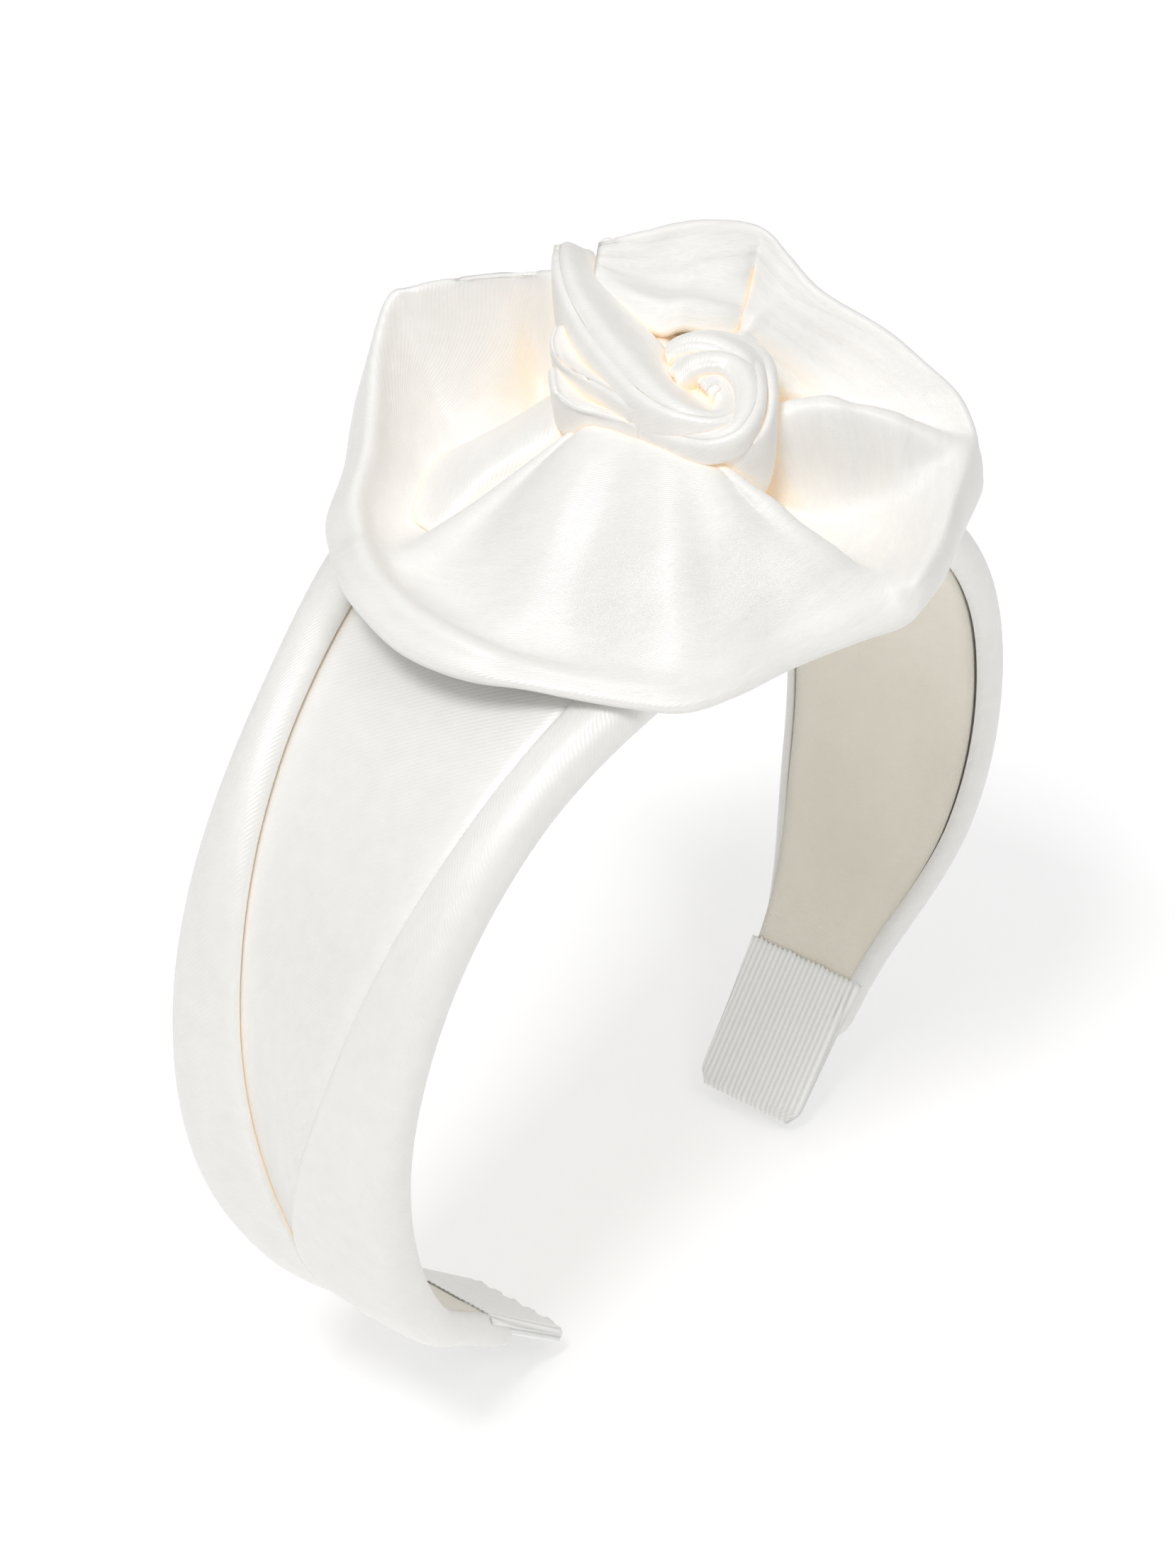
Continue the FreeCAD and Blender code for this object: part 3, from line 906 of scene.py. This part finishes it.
BACK_PETAL = [
    ((13.5, 0), (40.5, -2.5), [(0, 17.5), (0.15, 20.5), (0.38, 21.3), (0.6, 19.5), (0.8, 17), (1, 14.5)]),
    ((13, 10), (41, 0), [(0, 13.5), (0.3, 14), (0.6, 14), (0.85, 14.4), (1, 15)]),
    ((12, 11.5), (39.5, 4), [(0, 17), (0.3, 15.8), (0.55, 15.5), (0.8, 17), (1, 17.7)]),
    ((12, 12), (36.5, 8), [(0, 18.7), (0.3, 17.7), (0.55, 17.3), (0.8, 18.8), (1, 19.3)]),
    ((11.5, 12), (31, 13), [(0, 20.7), (0.3, 20), (0.6, 20), (0.85, 21.5), (1, 22)]),
    ((11.5, 12), (23, 18), [(0, 22.5), (0.3, 22.7), (0.6, 23.6), (0.85, 25), (1, 25.4)]),
    ((11, 12), (19, 22.5), [(0, 22), (0.3, 24), (0.6, 25.7), (0.85, 27.7), (1, 28.3)]),
]
TOP_LOOP = [
    ((11.5, 18), (16.5, 25.5), [(0, 18.5), (0.25, 21), (0.5, 25), (0.8, 28.7), (1, 30)]),
    ((11.5, 13), (13.5, 26.8), [(0, 21.5), (0.12, 24), (0.4, 24.6), (0.7, 28.3), (1, 30.9)]),
    ((5.5, 13.5), (9, 27), [(0, 23.5), (0.12, 26.3), (0.45, 25.5), (0.7, 28.5), (1, 31.2)]),
    ((2, 13.5), (5, 27), [(0, 23), (0.15, 26), (0.5, 26), (0.75, 28.5), (1, 30.8)]),
    ((-2, 16), (0.5, 26.5), [(0, 24), (0.15, 26.5), (0.5, 27), (1, 30.3)]),
    ((-6.5, 20), (-5.5, 26.5), [(0, 26.5), (0.3, 28), (1, 29.5)]),
]
# How far the outside of the petals swells past their crests, by bearing in degrees.
FLARE = [
    (92, 0.6), (101, 1.2), (112, 2.0), (142, 2.5), (172, 3.6), (212, 3.8), (250, 2.6), (275, 1.7),
    (300, 1.4), (355, 0.9), (375, 0.9), (410, 1.5), (452, 1.8),
]

# Each fold: the line of its crest, as a, d, z and how far it reaches to the left and right of that
# line. FOLDS adds how steeply each side drops for each millimetre that it reaches, and how deep each
# border is tucked down.
INNER_BAND = [
    (-9.5, 29, 28.3, 3, 1.5), (-9.4, 23.5, 29.2, 4, 1.8), (-8.3, 17.5, 28.8, 5.5, 2.2),
    (-5.8, 11.5, 27.8, 6.8, 2.8), (-2.8, 5.6, 26.9, 7, 3), (0.2, 0, 26, 6.4, 2.8),
    (3, -4, 25.2, 5.4, 2.2), (6.2, -6.4, 24.5, 4.4, 1.5), (9, -6.6, 24, 3.6, 1.4),
    (10.9, -4.6, 23.8, 2.8, 1.4), (11.2, -1.8, 23.9, 2.2, 1.3), (10.1, 0.2, 24.4, 1.8, 1.1),
    (8.5, 0.5, 24.7, 1.6, 1), (7.2, -0.6, 24.2, 1.2, 0.8),
]
BUD_WRAP = [
    (3.6, 1.5, 24.6, 1.5, 1.2), (6, 2.4, 26.6, 3.2, 1.6), (9, 2.8, 27, 3.8, 1.8),
    (11.6, 1.6, 26.6, 3, 1.8), (12.9, -1.8, 25.8, 1.8, 1.4), (12.8, -5.6, 24.7, 1.4, 1.3),
    (11.1, -8.3, 23.4, 1.4, 1.3), (8.4, -8.9, 22.5, 1.3, 1.3), (5.4, -7.6, 21.9, 1.2, 1.3),
    (2.2, -5.2, 21.3, 1, 1.2), (-0.8, -3, 21, 0.6, 0.8),
]
OUTER_WRAP = [
    (2.8, 7, 25, 3, 1.2), (4.5, 7, 26.3, 4, 1.5), (7, 6.7, 27, 5, 1.6), (10, 5.6, 26.8, 5, 1.6),
    (12.4, 3.4, 26.3, 4, 1.6), (13.7, 0.5, 25.4, 2.6, 1.4), (14.2, -3, 23.8, 1.8, 1.4),
    (13.5, -6.3, 21.8, 1.4, 1.4), (11.3, -7.9, 20.6, 1.3, 1.4), (8.2, -7.6, 20, 1.3, 1.4),
    (5, -5.8, 19.8, 1.2, 1.2), (2.2, -3.6, 19.8, 0.8, 0.8),
]
LOWER_FOLD = [
    (-10.9, 8, 22.8, 2.6, 1), (-10.5, 4.2, 22, 3, 1), (-8.6, 1.8, 21.4, 3.4, 1),
    (-5.8, 0.4, 21.2, 3.4, 1), (-2.6, -1.2, 21, 3, 1), (0.6, -3.6, 20.8, 2.6, 0.9),
    (3.8, -6, 20.4, 2, 0.8), (6.6, -8, 20.2, 1.4, 0.7),
]
UPPER_FOLD = [
    (-10.4, 14, 25.3, 2.4, 0.8), (-11, 10.4, 24.7, 3, 0.8), (-10, 7.2, 24.2, 3.6, 0.8),
    (-7.6, 4.6, 23.9, 3.6, 0.8), (-5, 2, 23.7, 3, 0.8), (-2.6, -0.6, 23.4, 2.4, 0.7),
    (-0.4, -2.8, 23, 1.4, 0.6),
]
TUBE_FOLD = [
    (9.2, -5.5, 20, 1.6, 1.6), (9.7, -8.2, 18.3, 1.9, 1.7), (11.1, -9.8, 16.3, 1.9, 1.8),
    (12.6, -10.9, 14, 1.5, 1.4), (13.4, -11.5, 12, 1, 0.9),
]
INNER_TUBE = [
    (-3.5, 22, 22.5, 2.6, 2), (-0.6, 18.5, 22.3, 2.8, 2), (1.6, 15, 22.2, 2.8, 1.8),
    (3, 11.5, 22.3, 2.4, 1.6), (4, 8, 22.4, 2, 1.2),
]
BOWL_FOLD = [
    (-6, 9.5, 18.5, 6, 7), (-10.5, 6.7, 16.6, 6, 10), (-15.5, 5, 13.8, 5.5, 12),
    (-21.5, 2, 11.8, 5, 12), (-25.2, -1.2, 9.4, 4.5, 10), (-29, -3.5, 6, 3, 6),
]
FOLDS = [
    ("inner_band_fold", INNER_BAND, (0.7, 0.95), (5.0, 13.0), 1.1, "inner_band"),
    ("bud_wrap", BUD_WRAP, (0.5, 0.7), (3.0, 3.0), 1.0, "bud"),
    ("bud_outer_wrap", OUTER_WRAP, (0.75, 0.6), (9.0, 3.0), 1.0, "bud"),
    ("lower_fold", LOWER_FOLD, (0.15, 0.6), (3.0, 6.0), 0.9, "fold_pair"),
    ("upper_fold", UPPER_FOLD, (0.2, 0.7), (3.0, 4.0), 0.9, "fold_pair"),
    ("tube_fold", TUBE_FOLD, (1.0, 1.0), (3.0, 3.0), 0.9, "small_fold"),
    ("inner_tube_fold", INNER_TUBE, (0.9, 0.9), (8.0, 3.0), 0.8, "inner_band"),
    ("bowl_fold", BOWL_FOLD, (0.95, 0.56), (3.0, 3.0), 1.0, "petal_left_inner"),
]
# How far a fold's side dips, and the depths, lengths and seeds of the creases and swells in the cloth.
FOLD_HOLLOW = 0.12
CREASE_DEPTH = 0.05
CREASE_LENGTHS = (7.0, 16.0)
SWELL_DEPTH = 0.45
SWELL_LENGTH = 14.0
SWELL_SEED = 5.0
PETAL_SEED = 2.0
FOLD_SEED = 11.0
# A petal's outside: how low it hangs below a high crest and below a low one, and its least height.
HIGH_CREST = 8
HIGH_UNDERSIDE = 4.0
LOW_UNDERSIDE = 2.5
LEAST_LIP = 2.6

# The bud's stuffed core, an ellipsoid, and the felt disc.
BUD_CENTRE = (7.0, 0.0, 13.0)
BUD_RADII = (5.5, 7.0, 10.5)
BUD_RINGS = 14
BUD_COLUMNS = 48
BASE_COLUMNS = 96
BUD_POLE = 0.02
BASE_RADIUS = 22.0
BASE_BOTTOM = HALF_THICKNESS + 0.1
BASE_TOP = HALF_THICKNESS + 1.3


def curve_weights(count, steps):
    """Weights that take count points to a smooth line through them, with so many steps a span."""
    rows = (count - 1) * steps + 1
    weights = np.zeros((rows, count))
    for row in range(rows):
        i = min(row // steps, count - 2)
        t = row / steps - i
        four = (
            -0.5 * t + t * t - 0.5 * t ** 3, 1 - 2.5 * t * t + 1.5 * t ** 3,
            0.5 * t + 2 * t * t - 1.5 * t ** 3, -0.5 * t * t + 0.5 * t ** 3,
        )
        for k, weight in zip(range(i - 1, i + 3), four):
            if k < 0:
                weights[row, 0] += 2 * weight
                weights[row, 1] -= weight
            elif k >= count:
                weights[row, count - 1] += 2 * weight
                weights[row, count - 2] -= weight
            else:
                weights[row, k] += weight
    return weights


def smooth_surface(ribs):
    """A fine grid of points on the smooth surface through ribs that have equally many points."""
    ribs = np.asarray(ribs, float)
    rows = curve_weights(len(ribs), STEPS)
    columns = curve_weights(ribs.shape[1], STEPS)
    return np.einsum("ri,ijk,cj->rck", rows, ribs, columns)


def petal_rib(start, crest, heights, first_end=False):
    """One rib: from the bud out to the crest, then down the outside to the foot."""
    start, crest = np.array(start, float), np.array(crest, float)
    rib = [(*(start + (crest - start) * t), through(heights, t)) for t in RIB_STATIONS]
    radius = np.linalg.norm(crest)
    outwards = crest / radius
    bearing = math.degrees(math.atan2(crest[1], crest[0])) % 360
    if bearing < BACK_BEARING and not first_end:
        bearing += 360
    flare = through(FLARE, bearing)
    top = heights[-1][1]
    low = HIGH_UNDERSIDE if top > HIGH_CREST else min(top - LEAST_LIP, LOW_UNDERSIDE)
    outside = [
        (radius + 0.55 * flare, top - 0.18 * (top - low)), (radius + flare, 0.5 * (top + low)),
        (radius + 0.35 * flare, top - 0.85 * (top - low)), (radius - 4, low - 0.4), (OUTER_FOOT, low + 0.6),
    ]
    rib += [(*(outwards * r), z) for r, z in outside]
    return rib


def fold_ribs(line, drops, tucks):
    """Ribs across a fold's crest line: a rounded crest, a shallow hollow, and both borders tucked down."""
    line = np.asarray(line, float)
    along = np.gradient(line[:, :2], axis=0)
    along /= np.linalg.norm(along, axis=1, keepdims=True)
    ribs = []
    for (a, d, z, left, right), (run_a, run_d) in zip(line, along):
        sideways = np.array([-run_d, run_a])
        middle = np.array([a, d])
        low_left = z - drops[0] * left
        low_right = z - drops[1] * right
        hollow = z - (0.3 * drops[0] + FOLD_HOLLOW) * left
        section = [
            (0.75 * left, low_left - tucks[0]), (left, low_left), (0.55 * left, hollow), (0.0, z),
            (-0.6 * right, z - 0.3 * drops[1] * right), (-right, low_right),
            (-0.7 * right, low_right - tucks[1]),
        ]
        ribs.append([(*(middle + sideways * reach), height) for reach, height in section])
    return ribs


def to_band(points):
    """From the rosette's own frame to the part's."""
    points = np.asarray(points, float)
    c, s = math.cos(ROSETTE_TURN), math.sin(ROSETTE_TURN)
    out = points.copy()
    out[..., 0] = ROSETTE_CENTRE[0] + c * points[..., 0] - s * points[..., 1]
    out[..., 1] = ROSETTE_CENTRE[1] + s * points[..., 0] + c * points[..., 1]
    return out


def grid_normals(grid):
    normals = np.cross(np.gradient(grid, axis=0), np.gradient(grid, axis=1))
    return normals / np.maximum(np.linalg.norm(normals, axis=2, keepdims=True), 1e-9)


def running_length(grid, axis):
    """How far each grid point is along its row or column."""
    steps = np.linalg.norm(np.diff(grid, axis=axis), axis=2)
    start = np.zeros_like(np.take(steps, [0], axis=axis))
    return np.concatenate([start, np.cumsum(steps, axis=axis)], axis=axis)


def cloth_relief(grid, along, across, seed):
    """Fine creases that run with the cloth and soft swelling, in millimetres."""
    relief = np.zeros(grid.shape[:2])
    for i in range(grid.shape[0]):
        for j in range(grid.shape[1]):
            u, v = along[i, j], across[i, j]
            crease = noise.noise(Vector((u / CREASE_LENGTHS[0], v / CREASE_LENGTHS[1], seed)))
            swell = noise.noise(Vector((u / SWELL_LENGTH, v / SWELL_LENGTH, seed + SWELL_SEED)))
            relief[i, j] = CREASE_DEPTH * crease + SWELL_DEPTH * swell
    return relief


def border_lift(along, across, half):
    """Half the cloth's thickness, rounded off to nothing at the borders."""
    from_sides = np.minimum(across, across[:, -1:] - across)
    from_ends = np.minimum(along, along[-1:] - along)
    inset = np.clip(np.minimum(from_sides, from_ends) / half, 0.0, 1.0)
    return (half * np.sqrt(1.0 - (1.0 - inset) ** 2))[..., None]


def shell_faces(top, bottom, along, across):
    """The faces on both sides of a grid, and the cloth coordinates of their corners."""
    faces = []
    uv = []
    for i in range(top.shape[0] - 1):
        for j in range(top.shape[1] - 1):
            corners = ((i, j), (i + 1, j), (i + 1, j + 1), (i, j + 1))
            faces.append([int(top[k]) for k in corners])
            faces.append([int(bottom[k]) for k in corners[::-1]])
            uv += [(along[k], across[k]) for k in corners + corners[::-1]]
    return faces, uv


def cloth_shell(name, grid, thickness, material, seed):
    """A closed sheet of cloth on a grid of points, with soft relief and rounded borders."""
    rows, columns, _ = grid.shape
    along, across = running_length(grid, 0), running_length(grid, 1)
    grid = grid + grid_normals(grid) * cloth_relief(grid, along, across, seed)[..., None]
    normals = grid_normals(grid)
    lift = border_lift(along, across, thickness / 2)
    border = np.ones((rows, columns), bool)
    border[1:-1, 1:-1] = False
    top = np.arange(rows * columns).reshape(rows, columns)
    bottom = top.copy()
    bottom[~border] = rows * columns + np.arange((~border).sum())
    points = np.vstack([(grid + normals * lift).reshape(-1, 3), (grid - normals * lift)[~border]])
    faces, uv = shell_faces(top, bottom, along, across)
    return cloth_mesh(name, to_band(points) * MM, faces, uv, material)


def round_loops(centre, rings, count):
    """Loops for a round solid from (radius along a, radius along d, height) rings."""
    loops = []
    for radius_a, radius_d, height in rings:
        loop = []
        for k in range(count):
            angle = 2 * math.pi * k / count
            a = centre[0] + radius_a * math.cos(angle)
            d = centre[1] + radius_d * math.sin(angle)
            loop.append((a, d, height))
        loops.append(to_band(loop))
    return loops


def bud_core(material):
    """The twisted middle of the satin strip, which the folds wrap round."""
    rings = []
    for k in range(BUD_RINGS + 1):
        angle = math.pi * (k / BUD_RINGS - 0.5)
        keep = max(math.cos(angle), BUD_POLE)
        height = BUD_CENTRE[2] + BUD_RADII[2] * math.sin(angle)
        rings.append((BUD_RADII[0] * keep, BUD_RADII[1] * keep, height))
    return loops_to_mesh("bud_core", round_loops(BUD_CENTRE, rings, BUD_COLUMNS), material)


def felt_base(material):
    """The felt disc under the petals, with a softened cut edge."""
    low, high, radius = BASE_BOTTOM, BASE_TOP, BASE_RADIUS
    rings = [
        (0.4, 0.4, low), (radius - 0.3, radius - 0.3, low), (radius, radius, low + 0.3),
        (radius, radius, high - 0.3), (radius - 0.3, radius - 0.3, high), (0.4, 0.4, high),
    ]
    return loops_to_mesh("felt_base", round_loops((0.0, 0.0), rings, BASE_COLUMNS), material)


def finish_piece(piece, slot, *replaced):
    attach(piece, "crown")
    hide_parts(*replaced)


def make_rosette(materials):
    satin = materials["ivory_satin"]
    ribs = [petal_rib(*rib, first_end=True) for rib in BACK_WALL]
    ribs += [petal_rib(*rib) for rib in LEFT_RIM + FRONT_LOBE + RIGHT_CUP + BACK_PETAL + TOP_LOOP]
    petals = cloth_shell("outer_petals", smooth_surface(ribs), SATIN_THICKNESS, satin, PETAL_SEED)
    petal_nodes = ("petal_left", "petal_front", "petal_right", "petal_back", "top_loop")
    finish_piece(petals, "ivory_satin", *petal_nodes)
    pieces = [petals]
    for number, (name, line, drops, tucks, thickness, node) in enumerate(FOLDS):
        grid = smooth_surface(fold_ribs(line, drops, tucks))
        fold = cloth_shell(name, grid, thickness, satin, FOLD_SEED + number)
        finish_piece(fold, "ivory_satin", node)
        pieces.append(fold)
    core = bud_core(satin)
    finish_piece(core, "ivory_satin", "bud")
    pieces.append(core)
    mark_cavities(pieces)
    base = felt_base(materials["felt"])
    finish_piece(base, "felt", "rosette_base")


def main():
    make_camera()
    make_stage()
    materials = {
        "ivory_satin": satin_material(),
        "lining_fabric": lining_material(),
        "grosgrain_ribbon": grosgrain_material(),
    }
    for name, look in PLAIN_MATERIALS.items():
        materials[name] = plain_material(name, *look)
    make_band(materials)
    make_rosette(materials)
    # The glue pad and the stitches keep their CAD shapes.
    for node, slot in (("glue_pad", "glue"), ("rosette_stitches", "thread")):
        cad_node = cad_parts[node]
        cad_node.data.materials.clear()
        cad_node.data.materials.append(materials[slot])


main()
